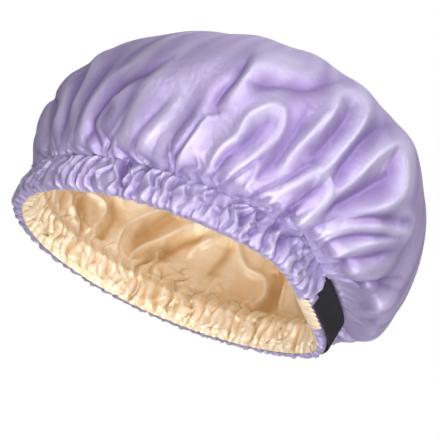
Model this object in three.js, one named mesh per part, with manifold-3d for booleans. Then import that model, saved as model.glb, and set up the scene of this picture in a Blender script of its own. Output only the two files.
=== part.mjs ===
// Satin hair bonnet: two round cloths gathered into one casing, the elastic inside that casing,
// and the black stretch of it that comes out through two slits at the back of the rim.
// Millimetres, +Z up, opening down on z = 0, +X towards the straight run at the back of the rim.
import * as THREE from "three";
import { mergeVertices } from "three/addons/utils/BufferGeometryUtils.js";
import Module from "manifold-3d";

// Rim of the opening, from the rim's centre
const RIM_FRONT = 103.5;
const RIM_BACK = 82;
const RIM_HALF_WIDTH = 85.5;
const RIM_CORNER_POWER = 14;

// Crown at its widest, from the rim's centre, and the dome above it
const CROWN_FRONT = 108.5;
const CROWN_BACK = 120;
const CROWN_HALF_WIDTH = 108.5;
const CROWN_HEIGHT = 137.5;
const APEX_SHIFT = 18;
const WIDEST_HEIGHT_FRONT = 50;
const WIDEST_HEIGHT_BACK = 44;
const BULGE_POWER_FRONT = 0.95;
const BULGE_POWER_BACK = 0.5;
const RISE_POWER_FRONT = 0.5;
const RISE_POWER_BACK = 1;
const DOME_POWER_FRONT = 1.08;
const DOME_POWER_BACK = 0.79;
const BACK_DROOP = 8;

// Elastic tape, the same width inside the casing and at the back
const TAPE_WIDTH = 15;
const TAPE_THICKNESS = 0.9;
const TAPE_LIFT = 3.6;
const SLIT_NEAR_ANGLE = -4.5;
const SLIT_FAR_ANGLE = 40.5;
const SLIT_RUN = 3;
const TAIL_RUN = 4;

// Casing, the stitched channel round the rim
const CASING_EASE = 1.6;
const CASING_LEAN_FRONT = 2.7;
const CASING_LEAN_SIDE = 0.9;
const CASING_LEAN_BACK = -0.7;
const RIM_LIP = 2.2;

// Cloth, its gathers in the casing and its folds in the crown
const CLOTH_THICKNESS = 0.6;
const GATHERS = 40;
const PLEAT_DEPTH = 2;
const FOLD_DEPTH = 4.5;
const FLATTENED_UNDER_TAPE = 0.8;
const PLEAT_UNEVENNESS = 0.22;
const PLEAT_DRIFT = 1.7;
const FOLD_RISE = 0.25;
const FOLD_END = 2.8;
const FOLD_FADE = 0.6;

// Ridges and valleys of the crown: degrees round from the back, and share of the fold depth out or in
const CROWN_FOLDS = [
  [0, -0.3], [9, 0.4], [18, -0.6], [36, 0.8], [45, -0.7], [54, 0.4], [63, -0.3], [81, 0.5],
  [90, -0.2], [99, 0.6], [108, -0.9], [126, 0.8], [144, -0.6], [153, 0.5], [162, -0.8], [171, 0.5],
  [180, 0], [198, 0.5], [207, 0], [216, 0.5], [252, -0.5], [261, 0.2], [270, 0.4], [279, 0],
  [288, 0.3], [306, -0.5], [315, 0.3], [333, -0.2], [342, 0.6], [360, -0.3],
];

// Sewing thread
const THREAD_RADIUS = 0.35;
const TACK_LENGTH = 11;
const TACK_WIDTH = 1.2;

// Gap kept between neighbouring pieces
const CLEARANCE = 0.3;

const CASING_HEIGHT = TAPE_LIFT + TAPE_WIDTH + CASING_EASE;
const CASING_ROOM = 2 * TAPE_THICKNESS + 3 * CLEARANCE;
const CENTRE_X = (CROWN_FRONT - CROWN_BACK) / 2;
const QUARTER = Math.PI / 2;

// Columns round the bonnet: two for each gather
const FINE = 2 * GATHERS;
const angleOf = (column) => (column * 2 * Math.PI) / FINE;
const oddColumn = (degrees) => 2 * Math.floor((degrees * FINE) / 720) + 1;
const NEAR_SLIT = oddColumn(SLIT_NEAR_ANGLE);
const FAR_SLIT = oddColumn(SLIT_FAR_ANGLE);

// Heights on the surface: 0 to 1 is the casing, 1 to 2 the bulge above it, 2 to 3 the dome
const RIM = 0;
const SEAM = 1;
const APEX = 3;
const casingHeight = (z) => z / CASING_HEIGHT;
const bulge = (degrees) => 1 + degrees / 90;
const dome = (degrees) => 2 + degrees / 90;
const PLEATED_ROWS = [RIM, 0.3, 0.7, SEAM, bulge(10)];
const PLEAT_SHARES = [0.55, 1, 1, 0.45, 0.5];
const FOLDED_ROWS = [bulge(40), bulge(65), dome(0), dome(22), dome(42), dome(60)];
const TOP_ROW = dome(76);
const ROOM_ROWS = [casingHeight(RIM_LIP), casingHeight(TAPE_LIFT + TAPE_WIDTH + CLEARANCE)];

// An ellipse about the rim's centre whose back is drawn straight
function rimRadius(theta, front, back, half) {
  const ellipse = 1 / Math.hypot(Math.cos(theta) / front, Math.sin(theta) / half);
  const run = Math.cos(theta) > 0.001 ? back / Math.cos(theta) : Infinity;
  return (ellipse ** -RIM_CORNER_POWER + run ** -RIM_CORNER_POWER) ** (-1 / RIM_CORNER_POWER);
}

// The crown's widest oval, seen from the rim's centre
function crownRadius(theta) {
  const halfLength = (CROWN_FRONT + CROWN_BACK) / 2;
  const offset = (CROWN_BACK - CROWN_FRONT) / 2;
  const a = (Math.cos(theta) / halfLength) ** 2 + (Math.sin(theta) / CROWN_HALF_WIDTH) ** 2;
  const b = (-2 * offset * Math.cos(theta)) / halfLength ** 2;
  const c = (offset / halfLength) ** 2 - 1;
  return (-b + Math.sqrt(b * b - 4 * a * c)) / (2 * a);
}

function casingRadius(theta, share) {
  const front = RIM_FRONT - CASING_LEAN_FRONT * share;
  const back = RIM_BACK - CASING_LEAN_BACK * share;
  const half = RIM_HALF_WIDTH - CASING_LEAN_SIDE * share;
  return rimRadius(theta, front, back, half);
}

const backShare = (theta) => (1 + Math.cos(theta)) / 2;
const mix = (a, b, share) => a + (b - a) * share;

// Radius, height and forward shift of the smooth surface at one angle and height
function profile(theta, t) {
  const toBack = backShare(theta);
  const widest = mix(WIDEST_HEIGHT_FRONT, WIDEST_HEIGHT_BACK, toBack);
  if (t <= SEAM) return { r: casingRadius(theta, t), z: t * CASING_HEIGHT, shift: 0 };
  if (t <= 2) {
    const turn = (t - 1) * QUARTER;
    const power = mix(BULGE_POWER_FRONT, BULGE_POWER_BACK, toBack);
    const droop = BACK_DROOP * toBack ** 2 * Math.sin(2 * turn) ** 2;
    const risePower = mix(RISE_POWER_FRONT, RISE_POWER_BACK, toBack ** 2);
    const rise = (1 - Math.cos(turn)) ** risePower;
    const r = mix(casingRadius(theta, 1), crownRadius(theta), Math.sin(turn) ** power);
    return { r, z: mix(CASING_HEIGHT, widest, rise) - droop, shift: 0 };
  }
  const turn = (t - 2) * QUARTER;
  const power = mix(DOME_POWER_FRONT, DOME_POWER_BACK, toBack);
  const z = mix(widest, CROWN_HEIGHT, Math.sin(turn) ** power);
  const inward = 1 - Math.cos(turn);
  return { r: crownRadius(theta) * Math.cos(turn), z, shift: APEX_SHIFT * inward };
}

// A point of the smooth surface, moved out along its normal
function surface(column, t, lift) {
  const theta = angleOf(column);
  const step = 0.01;
  const here = profile(theta, t);
  const below = profile(theta, Math.max(RIM, t - step));
  const above = profile(theta, t <= SEAM ? Math.max(t, step) : Math.min(APEX, t + step));
  const length = Math.hypot(above.r - below.r, above.z - below.z);
  const r = here.r + (lift * (above.z - below.z)) / length;
  const z = t <= SEAM ? here.z : here.z - (lift * (above.r - below.r)) / length;
  return new THREE.Vector3(CENTRE_X + here.shift + r * Math.cos(theta), r * Math.sin(theta), z);
}

// How deep a gather stands at each height, and how far it is pressed flat under the tape
function pleatLift(column, t) {
  const share = PLEAT_SHARES[PLEATED_ROWS.indexOf(t)] ?? 0;
  const uneven = 1 - PLEAT_UNEVENNESS * (1 - Math.sin(PLEAT_DRIFT * column));
  const turned = ((column % FINE) + FINE) % FINE;
  const signed = turned > FINE / 2 ? turned - FINE : turned;
  const covered = signed >= NEAR_SLIT && signed <= FAR_SLIT;
  const flat = covered ? 1 - FLATTENED_UNDER_TAPE : 1;
  return PLEAT_DEPTH * share * uneven * flat * (column % 2 ? 1 : -1);
}

// The crown's folds: full above the casing, fading towards the top
function foldLift(column, t) {
  if (t <= SEAM) return 0;
  const rise = Math.min(1, (t - SEAM) / FOLD_RISE);
  const fade = Math.min(1, Math.max(0, (FOLD_END - t) / FOLD_FADE));
  const degrees = (column * 360) / FINE;
  const next = CROWN_FOLDS.findIndex(([angle]) => angle > degrees);
  const [start, from] = CROWN_FOLDS[next - 1];
  const [end, to] = CROWN_FOLDS[next];
  return FOLD_DEPTH * rise * fade * mix(from, to, (degrees - start) / (end - start));
}

// Faces of the four cloth sides, as lifts from the smooth surface
const pleatRoom = (t) => (t <= SEAM ? PLEAT_DEPTH : t < FOLDED_ROWS[0] ? PLEAT_DEPTH / 2 : 0);
const outerFace = (column, t) => pleatLift(column, t) + foldLift(column, t);
const outerBack = (column, t) => foldLift(column, t) - pleatRoom(t) - CLOTH_THICKNESS;
const inRoom = (t) => t >= ROOM_ROWS[0] && t <= ROOM_ROWS[1];
const liningBack = (column, t) => outerBack(column, t) - (inRoom(t) ? CASING_ROOM : CLEARANCE);
function liningFace(column, t) {
  const tape = t > RIM && t < SEAM ? CASING_ROOM : CLEARANCE;
  return outerBack(column, t) - tape - CLOTH_THICKNESS - pleatRoom(t) + pleatLift(column, t);
}

// A closed skin gathered ring by ring
class Skin {
  points = [];
  faces = [];

  ring(points) {
    const first = this.points.length;
    this.points.push(...points);
    return points.map((_, i) => first + i);
  }

  face(a, b, c, flip) {
    this.faces.push(flip ? [a, c, b] : [a, b, c]);
  }

  // Joins a ring to the next one up, which has as many points or half as many
  bridge(low, high, flip = false) {
    if (low.length < high.length) {
      this.bridge(high, low, !flip);
      return;
    }
    const count = high.length;
    const ratio = low.length / count;
    for (let i = 0; i < count; i++) {
      const next = (i + 1) % count;
      const end = (ratio * (i + 1)) % low.length;
      const middle = ratio === 2 ? low[2 * i + 1] : low[end];
      this.face(low[ratio * i], middle, high[i], flip);
      this.face(middle, high[next], high[i], flip);
      if (ratio === 2) this.face(middle, low[end], high[next], flip);
    }
  }

  fan(ring, point, flip = false) {
    const [tip] = this.ring([point]);
    ring.forEach((a, i) => this.face(a, ring[(i + 1) % ring.length], tip, flip));
  }

  geometry() {
    const order = this.faces.flat();
    const positions = order.flatMap((i) => this.points[i].toArray());
    const made = new THREE.BufferGeometry();
    made.setAttribute("position", new THREE.Float32BufferAttribute(positions, 3));
    return mergeVertices(made);
  }
}

const columns = (step) => Array.from({ length: FINE / step }, (_, i) => i * step);

// One side of a cloth, from its rim to its apex
function side(skin, lift, rows, flip) {
  const rings = rows.map(([t, step]) =>
    skin.ring(columns(step).map((column) => surface(column, t, lift(column, t)))),
  );
  rings.slice(1).forEach((ring, i) => skin.bridge(rings[i], ring, flip));
  skin.fan(rings.at(-1), surface(0, APEX, lift(0, APEX)), flip);
  return rings[0];
}

const CROWN_ROWS = [...FOLDED_ROWS.map((t) => [t, 2]), [TOP_ROW, 4]];
const SHOWN_ROWS = [...PLEATED_ROWS.map((t) => [t, 1]), ...CROWN_ROWS];
const HIDDEN_ROWS = [RIM, ...ROOM_ROWS, SEAM, bulge(10)].map((t) => [t, 2]).concat(CROWN_ROWS);

function outerSatin() {
  const skin = new Skin();
  const shown = side(skin, outerFace, SHOWN_ROWS, false);
  const hidden = side(skin, outerBack, HIDDEN_ROWS, true);
  skin.bridge(shown, hidden, true);
  return skin.geometry();
}

function liningSatin() {
  const skin = new Skin();
  const shown = side(skin, liningFace, SHOWN_ROWS, true);
  const hidden = side(skin, liningBack, HIDDEN_ROWS, false);
  skin.bridge(shown, hidden, false);
  return skin.geometry();
}

// A flat tape along columns of the casing; each stop gives the lift of the tape's inner face
function tape(stops, thickness, low, high) {
  const skin = new Skin();
  const corners = (column, lift) => [
    surface(column, casingHeight(low), lift),
    surface(column, casingHeight(low), lift + thickness),
    surface(column, casingHeight(high), lift + thickness),
    surface(column, casingHeight(high), lift),
  ];
  const rings = stops.map(([column, lift]) => skin.ring(corners(column, lift)));
  rings.slice(1).forEach((ring, i) => skin.bridge(rings[i], ring, true));
  const [a, b, c, d] = rings[0];
  const [e, f, g, h] = rings.at(-1);
  skin.face(a, b, c, false);
  skin.face(a, c, d, false);
  skin.face(e, g, f, false);
  skin.face(e, h, g, false);
  return skin.geometry();
}

// A thread that runs all the way round on one row of the cloth
function threadRing(step, t, lift, drop) {
  const skin = new Skin();
  const around = [0, 1, 2, 3].map((i) => i * QUARTER);
  const rings = columns(step).map((column) =>
    skin.ring(
      around.map((turn) => {
        const out = lift(column, t) + THREAD_RADIUS * Math.cos(turn);
        const point = surface(column, t, out);
        point.z += THREAD_RADIUS * Math.sin(turn) - drop;
        return point;
      }),
    ),
  );
  rings.forEach((ring, i) => skin.bridge(ring, rings[(i + 1) % rings.length], true));
  return skin.geometry();
}

// Where the tapes lie: outside over the gathers, or inside the casing in one of two layers
const TAPE_LOW = TAPE_LIFT;
const TAPE_HIGH = TAPE_LIFT + TAPE_WIDTH;
const OUTSIDE = PLEAT_DEPTH * (1 - FLATTENED_UNDER_TAPE) + CLEARANCE;
const OUTER_LAYER = -PLEAT_DEPTH - CLOTH_THICKNESS - CLEARANCE - TAPE_THICKNESS;
const INNER_LAYER = OUTER_LAYER - CLEARANCE - TAPE_THICKNESS;
const NEAR_INSIDE = NEAR_SLIT - SLIT_RUN;
const FAR_INSIDE = FAR_SLIT + SLIT_RUN;

const span = (from, to, step) => {
  const count = Math.round((to - from) / step) + 1;
  return Array.from({ length: count }, (_, i) => from + i * step);
};

// The tape's way through a slit, from outside the cloth to inside the casing
function slitStops(outside, inside) {
  const way = Math.sign(inside - outside);
  return span(0, SLIT_RUN, 1).map((i) => [
    outside + way * i,
    mix(OUTSIDE, OUTER_LAYER, i / SLIT_RUN),
  ]);
}

function backElasticStops() {
  const nearTail = span(NEAR_INSIDE - TAIL_RUN, NEAR_INSIDE - 2, 2).map((k) => [k, OUTER_LAYER]);
  const farTail = span(FAR_INSIDE + 2, FAR_INSIDE + TAIL_RUN, 2).map((k) => [k, OUTER_LAYER]);
  const near = slitStops(NEAR_SLIT, NEAR_INSIDE).reverse();
  const shown = span(NEAR_SLIT + 1, FAR_SLIT - 1, 1).map((k) => [k, OUTSIDE]);
  const far = slitStops(FAR_SLIT, FAR_INSIDE);
  return [...nearTail, ...near, ...shown, ...far, ...farTail];
}

function casingElasticStops() {
  return span(FAR_INSIDE, NEAR_INSIDE + FINE, 2).map((k) => [k, INNER_LAYER]);
}

// A slot through the cloth that clears the tape on every side
function slitCutter(outside, inside) {
  const stops = slitStops(outside, inside).map(([k, lift]) => [k, lift - CLEARANCE]);
  if (inside < outside) stops.reverse();
  const thickness = TAPE_THICKNESS + 2 * CLEARANCE;
  return tape(stops, thickness, TAPE_LOW - CLEARANCE, TAPE_HIGH + CLEARANCE);
}

// The bar of thread that sews a tail of the back elastic to the end of the casing's elastic
function barTack(column, margin) {
  const middle = (TAPE_LOW + TAPE_HIGH) / 2;
  const reach = TACK_LENGTH / 2 + margin;
  const inner = INNER_LAYER - margin;
  const outer = OUTER_LAYER + TAPE_THICKNESS + margin;
  const across = surface(column, 0.5, 0).distanceTo(surface(column + 2, 0.5, 0));
  const half = (TACK_WIDTH / 2 + margin) / across;
  const corner = (share, z, lift) => {
    const start = surface(column, casingHeight(z), lift);
    return start.lerp(surface(column + 2, casingHeight(z), lift), share);
  };
  const skin = new Skin();
  const [low, high] = [middle - reach, middle + reach].map((z) =>
    skin.ring([
      corner(0.5 - half, z, inner),
      corner(0.5 - half, z, outer),
      corner(0.5 + half, z, outer),
      corner(0.5 + half, z, inner),
    ]),
  );
  skin.bridge(low, high);
  skin.face(low[0], low[1], low[2], true);
  skin.face(low[0], low[2], low[3], true);
  skin.face(high[0], high[2], high[1], true);
  skin.face(high[0], high[3], high[2], true);
  return skin.geometry();
}

const wasm = await Module();
wasm.setup();

function solid(geometry) {
  const mesh = new wasm.Mesh({
    numProp: 3,
    vertProperties: geometry.attributes.position.array,
    triVerts: new Uint32Array(geometry.index.array),
  });
  return new wasm.Manifold(mesh);
}

function cut(geometry, ...cutters) {
  const left = cutters.reduce((rest, cutter) => rest.subtract(solid(cutter)), solid(geometry));
  const mesh = left.getMesh();
  const made = new THREE.BufferGeometry();
  made.setAttribute("position", new THREE.BufferAttribute(mesh.vertProperties, 3));
  made.setIndex(new THREE.BufferAttribute(mesh.triVerts, 1));
  return made;
}

const lavenderSatin = new THREE.MeshStandardMaterial({ color: 0xbfb2da, roughness: 0.35 });
const champagneSatin = new THREE.MeshStandardMaterial({ color: 0xdcb487, roughness: 0.35 });
const blackElastic = new THREE.MeshStandardMaterial({ color: 0x28282d, roughness: 0.85 });
const whiteElastic = new THREE.MeshStandardMaterial({ color: 0xe6e3dc, roughness: 0.85 });
const lavenderThread = new THREE.MeshStandardMaterial({ color: 0xa996cb, roughness: 0.6 });
const champagneThread = new THREE.MeshStandardMaterial({ color: 0xcfa67a, roughness: 0.6 });
const blackThread = new THREE.MeshStandardMaterial({ color: 0x1c1c20, roughness: 0.7 });

const bonnet = new THREE.Group();
function add(name, geometry, material) {
  const mesh = new THREE.Mesh(geometry, material);
  mesh.name = name;
  bonnet.add(mesh);
}

const nearTack = NEAR_INSIDE - 2;
const farTack = FAR_INSIDE;
const tackSlots = [barTack(nearTack, CLEARANCE), barTack(farTack, CLEARANCE)];
const nearSlit = slitCutter(NEAR_SLIT, NEAR_INSIDE);
const farSlit = slitCutter(FAR_SLIT, FAR_INSIDE);
const casingElastic = tape(casingElasticStops(), TAPE_THICKNESS, TAPE_LOW, TAPE_HIGH);
const backElastic = tape(backElasticStops(), TAPE_THICKNESS, TAPE_LOW, TAPE_HIGH);
const threadGap = CLEARANCE + THREAD_RADIUS;
const needleLift = (column, t) => outerFace(column, t) + threadGap;
const bobbinLift = (column, t) => liningFace(column, t) - threadGap;
const seamLift = (column, t) => outerBack(column, t) - threadGap;
const seamRow = casingHeight((RIM_LIP + TAPE_LIFT) / 2);

add("outer_satin", cut(outerSatin(), nearSlit, farSlit), lavenderSatin);
add("lining_satin", liningSatin(), champagneSatin);
add("casing_elastic", cut(casingElastic, ...tackSlots), whiteElastic);
add("back_elastic", cut(backElastic, ...tackSlots), blackElastic);
add("casing_needle_thread", threadRing(1, SEAM, needleLift, threadGap), lavenderThread);
add("casing_bobbin_thread", threadRing(1, SEAM, bobbinLift, 0), champagneThread);
add("rim_seam_thread", threadRing(2, seamRow, seamLift, 0), lavenderThread);
add("bar_tack_near", barTack(nearTack, 0), blackThread);
add("bar_tack_far", barTack(farTack, 0), blackThread);

// The origin is under the middle of the bonnet's box
const box = new THREE.Box3().setFromObject(bonnet);
const middle = box.getCenter(new THREE.Vector3());
bonnet.children.forEach((mesh) => mesh.position.set(-middle.x, -middle.y, -box.min.z));

export default bonnet;
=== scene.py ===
import math

import bpy
import numpy as np
from mathutils import Matrix, Vector


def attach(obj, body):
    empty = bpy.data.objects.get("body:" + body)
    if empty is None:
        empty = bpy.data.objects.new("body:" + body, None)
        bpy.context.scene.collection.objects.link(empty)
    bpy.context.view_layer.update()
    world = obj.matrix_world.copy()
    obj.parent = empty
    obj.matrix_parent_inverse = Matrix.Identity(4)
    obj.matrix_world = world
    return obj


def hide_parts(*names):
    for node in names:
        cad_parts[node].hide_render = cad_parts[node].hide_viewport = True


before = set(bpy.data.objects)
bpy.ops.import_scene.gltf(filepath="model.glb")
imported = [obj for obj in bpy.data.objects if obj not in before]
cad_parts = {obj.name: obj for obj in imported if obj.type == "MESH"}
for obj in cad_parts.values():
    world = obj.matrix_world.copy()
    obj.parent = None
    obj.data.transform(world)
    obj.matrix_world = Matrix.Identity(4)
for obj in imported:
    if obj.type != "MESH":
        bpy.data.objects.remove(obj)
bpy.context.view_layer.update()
MM = 0.001
FULL_TURN = 2 * math.pi
QUARTER = math.pi / 2

# Sizes of the smooth bonnet, in millimetres, as in the CAD source
RIM_FRONT, RIM_BACK, RIM_HALF_WIDTH = 103.5, 82.0, 85.5
RIM_CORNER_POWER = 14.0
CROWN_FRONT, CROWN_BACK, CROWN_HALF_WIDTH, CROWN_HEIGHT = 108.5, 120.0, 108.5, 137.5
APEX_SHIFT, BACK_DROOP = 18.0, 8.0
WIDEST_HEIGHT_FRONT, WIDEST_HEIGHT_BACK = 50.0, 44.0
BULGE_POWER_FRONT, BULGE_POWER_BACK = 0.95, 0.5
RISE_POWER_FRONT, RISE_POWER_BACK = 0.5, 1.0
DOME_POWER_FRONT, DOME_POWER_BACK = 1.08, 0.79
TAPE_WIDTH, TAPE_THICKNESS, TAPE_LIFT = 15.0, 0.9, 3.6
CASING_EASE = 1.6
CASING_LEAN_FRONT, CASING_LEAN_SIDE, CASING_LEAN_BACK = 2.7, 0.9, -0.7
SLIT_NEAR, SLIT_FAR = math.radians(-4.5), math.radians(40.5)
CASING_HEIGHT = TAPE_LIFT + TAPE_WIDTH + CASING_EASE
CENTRE_X = (CROWN_FRONT - CROWN_BACK) / 2

# Heights on the smooth bonnet, as in the CAD source: 0 to 1 casing, 1 to 2 bulge, 2 to 3 dome
RIM, SEAM, WIDEST, APEX = 0, 1, 2, 3

# Radius of the cloth's turn round the rim, and the angles round it of each cloth's rows
RIM_ROUND = 3.6
OUTER_RIM_ANGLES = np.radians([110, 86, 62, 40, 18])
LINING_RIM_ANGLES = np.radians([70, 57, 44, 31, 18])

# Grid of each cloth: columns round the bonnet, rows over the turned rim and the casing to the apex
COLUMNS = 840
RIM_ROWS, CASING_ROWS, CROWN_ROWS = len(OUTER_RIM_ANGLES), 18, 132
SEAM_ROW = RIM_ROWS + CASING_ROWS
EVEN_SPACING, GROWING_SPACING = 0.55, 0.45
PROBE_ROWS, PROBE_COLUMNS = 2001, 48

# Gathers of the casing: seed, number round the bonnet, how far they wander as a share of the width of
# one, share of long ones, and power of the valleys between them
OUTER_PLEATS = (11, 84, 0.5, 0.3, 1.5)
OUTER_WRINKLES = (31, 96, 0.9, 0.3, 2.0)
LINING_PLEATS = (23, 84, 0.5, 0.6, 1.5)
LINING_WRINKLES = (37, 66, 0.9, 0.3, 2.2)

# Seeded waves: size, seed, how many, their number round the bonnet, their length up the cloth in mm. The
# size is in mm for a swell or a crumple, in radians for the sway, and a share of the painted shading for
# the painted sheen, slow changes of painted highlight in the colour
BROAD_SWELL = (1.2, 3, 7, (6, 15), (160, 420))
NARROW_SWELL = (0.7, 5, 6, (18, 34), (90, 260))
FOLD_SWAY = (0.05, 6, 4, (2, 5), (150, 300))
LINING_SWELL = (1.2, 8, 7, (6, 14), (120, 300))
SLIT_CRUMPLE = (0.6, 15, 8, (90, 150), (14, 30))
LINING_CRUMPLE = (1, 16, 10, (70, 130), (26, 70))
RIM_FRILL = (1, 17, 10, (90, 150), (10, 24))
OUTER_PAINTED_SHEEN = (0.35, 21, 14, (24, 60), (120, 320))
LINING_PAINTED_SHEEN = (0.3, 22, 14, (24, 60), (120, 320))

# Loose folds of the outer cloth's unseen side, how many and their seed, and slack folds of the lining
LOOSE_FOLDS = (34, 12)
SLACK_FOLDS = 20

# Depth of the pleats and puff of the outer casing, in mm, at distances from the seam
DEPTH_AT = [-26, -21, -14, -5, -1, 0, 4, 12, 40]
OUTER_DEPTHS = [1.0, 2.0, 3.6, 3.6, 3.1, 2.8, 3.0, 3.4, 3.0]
LINING_DEPTHS = [0.0, 1.5, 2.8, 3.0, 2.7, 2.4, 3.0, 3.4, 1.8]
PUFF_AT = [-26, -20, -11, -3, 0, 3, 14, 30]
PUFFS = [-0.3, 0.0, 0.3, 0.1, 0.0, 0.0, 0.2, 0]

# How far the lining lies inside the outer cloth, in mm: up the casing, from the seam up the crown, and at
# the apex; the gap that is kept between them, and the columns to each side that it is smoothed over
CASING_INSET_AT = [0, 17.5, CASING_HEIGHT]
CASING_INSETS = [2 * RIM_ROUND, 2 * RIM_ROUND, 3.4]
CROWN_INSET_AT = [0, 6, 20, 120, 200]
CROWN_INSETS = [3.2, 5.2, 7.0, 6.0, 3.0]
APEX_INSET = 3.0
CLOTH_GAP, GAP_SOFTNESS = 1.2, 3
NEIGHBOURS = range(-6, 7)

# Height in mm from which the rim gives way to what it rests on, and the share of its dip that is left
GIVES_BELOW, GIVES_LESS = 0.5, 0.38

# Heights in mm of the small relief, of the strap's dents in the casing and above it, and of the sag of
# the lining
WRINKLE_HEIGHT, FRILL_HEIGHT = 1.5, 0.45
LINING_WRINKLE_HEIGHT, LINING_CRUMPLE_HEIGHT = 0.8, 0.5
CASING_DENT, CROWN_DENT = 0.4, 2.2
LINING_SAG = 1.2

# Share of a pleat's depth that stands over the smooth cloth, and how much of it is lost up the crown
RIDGE_LEVEL, RIDGE_FADE = 0.6, 0.8

# How much pleats are flattened: at the rim by the strap and the rolled lining, above the seam by the strap,
# and by the drawn folds that take over from them. The rolled lining also presses the frill of the rim
RIM_PRESS, STRAP_PRESS, FOLD_EASE = 0.85, 0.75, 0.75
FRILL_PRESS = 0.8

# The crumple before the near slit: its place and width in radians
CRUMPLE_BEFORE, CRUMPLE_WIDTH = 0.12, 0.07

# Share of the drawn folds' height that is kept, and what those at the photograph's left lose by the seam,
# between two places across its frame
DRAWN_SHARE, LEFT_LOSS = 0.6, 0.55
LEFT_SIDE = (130, 200)

# Painted shade and highlight in the colour of the cloths: mm of relief for the full contrast, the middle
# level of pleats and of wrinkles, the weights of each kind of relief and of the painted highlight at the
# pale edges, and the width in mm of the painted highlight at the seam
OUTER_CONTRAST, LINING_CONTRAST, CASING_CONTRAST = 2.8, 2.0, 0.35
PLEAT_MIDDLE, LINING_PLEAT_MIDDLE, WRINKLE_MIDDLE = 0.35, 0.5, 0.2
WRINKLE_TONE, FRILL_TONE, SEAM_TONE, RIM_TONE = 2.0, 0.6, 0.35, 0.4
LINING_FOLD_TONE, LINING_SLACK_TONE, LINING_SEAM_TONE = 1.2, 0.4, 0.4
LINING_WRINKLE_TONE, LINING_CRUMPLE_TONE = 1.2, 0.7
SEAM_HIGHLIGHT_WIDTH = 4

# Beside the strap the lining rolls out over the rim: how far it turns, its ruffles, and how low and tight
ROLL_ANGLE = math.radians(86)
RUFFLES, RUFFLE_DEPTH = 95, 0.5
ROLL_DROP, ROLL_TIGHT = 1.0, 1.3

# The free stretch of the elastic: its place in front of the casing and behind the slits, its lean
# outwards at the top, how far it spreads past the tape's width, and its tails in radians
STRAP_OUT, STRAP_TUCKED, STRAP_LEAN = 2.0, -3.4, 1.2
SPREAD_BELOW, SPREAD_ABOVE = 0.6, 0.4
TAIL, TUCK = 0.12, 0.1
STRAP_ROWS, STRAP_COLUMNS = 14, 90

# Stitches: height over the cloth at each column that one takes up, radius and sides of the thread
STITCH_DIPS = (-0.35, 0.3, 0.3, -0.35)
STITCH_RADIUS, STITCH_SIDES = 0.32, 5

# The round that each cloth is cut from, in metres, and the scale of its UV map
UV_PER_METRE = 10


def mix(a, b, share):
    return a + (b - a) * share


def smooth(low, high, value):
    """0 below a range of the value and 1 above it."""
    x = np.clip((value - low) / (high - low), 0, 1)
    return x * x * (3 - 2 * x)


def window(value, rise, fall):
    """1 between two ranges of the value, rising over the first and falling over the second."""
    return smooth(*rise, value) * (1 - smooth(*fall, value))


def wrapped(angle):
    """The same angle between half a turn back and half a turn on."""
    return (angle + math.pi) % FULL_TURN - math.pi


def rim_radius(theta, front, back, half):
    """An ellipse about the rim's centre whose back is drawn straight."""
    ellipse = 1 / np.hypot(np.cos(theta) / front, np.sin(theta) / half)
    straight = back / np.maximum(np.cos(theta), 0.001)
    return (ellipse ** -RIM_CORNER_POWER + straight ** -RIM_CORNER_POWER) ** (-1 / RIM_CORNER_POWER)


def crown_radius(theta):
    """The crown's widest oval, seen from the rim's centre."""
    half = (CROWN_FRONT + CROWN_BACK) / 2
    offset = (CROWN_BACK - CROWN_FRONT) / 2
    a = (np.cos(theta) / half) ** 2 + (np.sin(theta) / CROWN_HALF_WIDTH) ** 2
    b = -2 * offset * np.cos(theta) / half ** 2
    c = (offset / half) ** 2 - 1
    return (-b + np.sqrt(b * b - 4 * a * c)) / (2 * a)


def casing_radius(theta, share):
    front = RIM_FRONT - CASING_LEAN_FRONT * share
    back = RIM_BACK - CASING_LEAN_BACK * share
    half = RIM_HALF_WIDTH - CASING_LEAN_SIDE * share
    return rim_radius(theta, front, back, half)


def base_point(theta, t):
    """The smooth bonnet at an angle round it and a height t from RIM to APEX."""
    to_back = (1 + np.cos(theta)) / 2
    widest = mix(WIDEST_HEIGHT_FRONT, WIDEST_HEIGHT_BACK, to_back)
    casing = np.clip(t, RIM, SEAM)
    turn = np.clip(t - SEAM, 0, 1) * QUARTER
    over = np.clip(t - WIDEST, 0, 1) * QUARTER
    out = np.sin(turn) ** mix(BULGE_POWER_FRONT, BULGE_POWER_BACK, to_back)
    r = mix(casing_radius(theta, casing), crown_radius(theta), out) * np.cos(over)
    rise = (1 - np.cos(turn)) ** mix(RISE_POWER_FRONT, RISE_POWER_BACK, to_back ** 2)
    z = np.where(t <= SEAM, casing * CASING_HEIGHT, mix(CASING_HEIGHT, widest, rise))
    z = z - BACK_DROOP * to_back ** 2 * np.sin(2 * turn) ** 2
    z = z + (CROWN_HEIGHT - widest) * np.sin(over) ** mix(DOME_POWER_FRONT, DOME_POWER_BACK, to_back)
    x = CENTRE_X + APEX_SHIFT * (1 - np.cos(over)) + r * np.cos(theta)
    return np.stack([x, r * np.sin(theta), z], axis=-1)


# Rows up the crown, closer together near the seam, by their height and their distance from the seam
fine_t = np.linspace(SEAM, APEX, PROBE_ROWS)
probe_theta = np.linspace(0, FULL_TURN, PROBE_COLUMNS, endpoint=False)
probe = base_point(probe_theta[None, :], fine_t[:, None])
probe_steps = np.linalg.norm(np.diff(probe, axis=0), axis=2).mean(axis=1)
fine_s = np.concatenate([[0], np.cumsum(probe_steps)])
CROWN_RUN = fine_s[-1]
row_share = np.linspace(0, 1, CROWN_ROWS, endpoint=False)
crown_s = CROWN_RUN * (EVEN_SPACING * row_share + GROWING_SPACING * row_share ** 2)
crown_t = np.interp(crown_s, fine_s, fine_t)

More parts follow.
